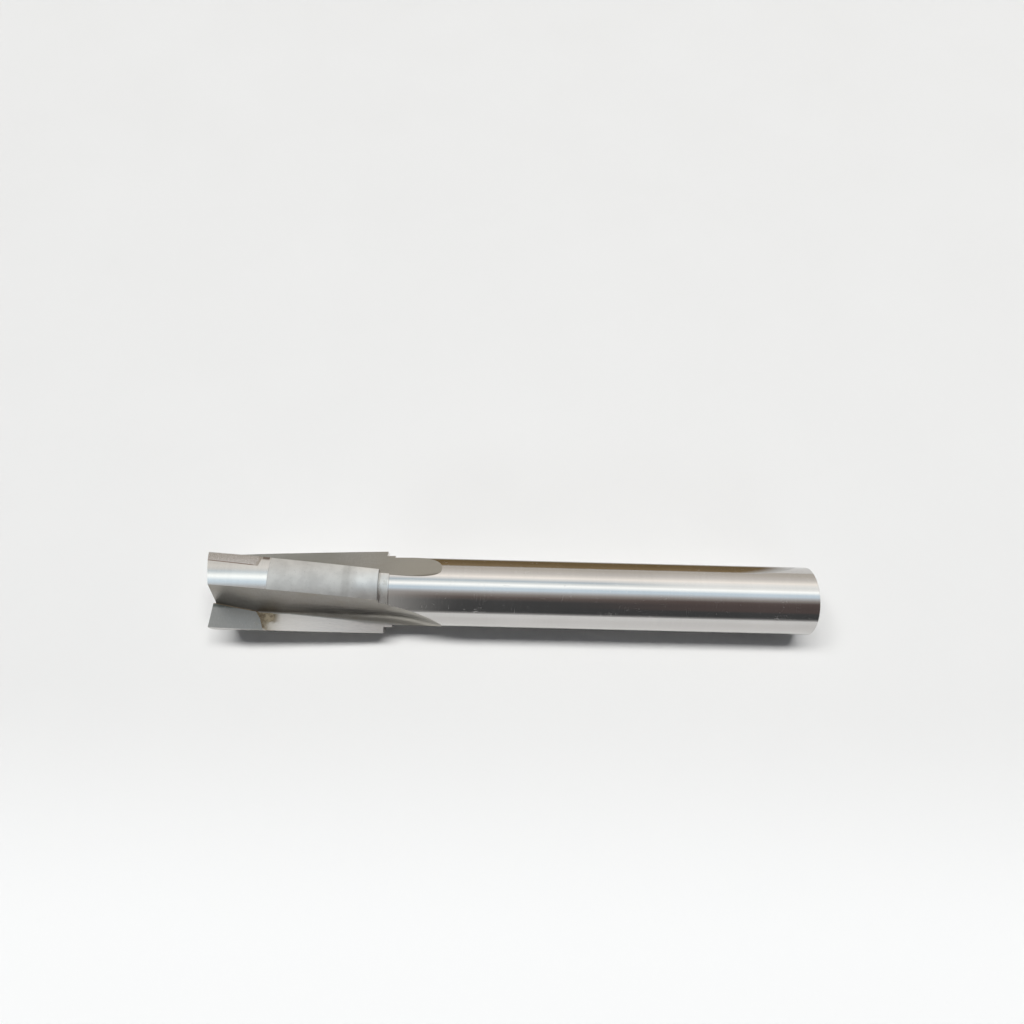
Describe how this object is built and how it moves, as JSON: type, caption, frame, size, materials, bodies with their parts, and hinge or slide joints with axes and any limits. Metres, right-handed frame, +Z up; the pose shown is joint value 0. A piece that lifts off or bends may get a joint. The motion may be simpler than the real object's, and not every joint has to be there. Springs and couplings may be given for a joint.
{
  "type": "end mill",
  "caption": "Carbide-tipped end mill: round shank, long fluted head with slow right-hand flutes and flat carbide tips brazed into its teeth.",
  "frame": {"origin": "centre of the flat rear face of the shank, on the tool's axis", "axes": "+X along the tool's axis, out of the rear face of the shank; the cutting end points to -X. +Z is up when the tool lies on a table at rest, and +Y completes the frame"},
  "size_m": [0.2222, 0.0317, 0.0302],
  "materials": {
    "body_steel": "satin",
    "carbide": "satin",
    "braze": "matte"
  },
  "bodies": {
    "root": {"body": "body_steel", "carbide_tip_1": "carbide", "carbide_tip_2": "carbide", "carbide_tip_3": "carbide", "braze_1": "braze", "braze_2": "braze", "braze_3": "braze"}
  },
  "joints": []
}
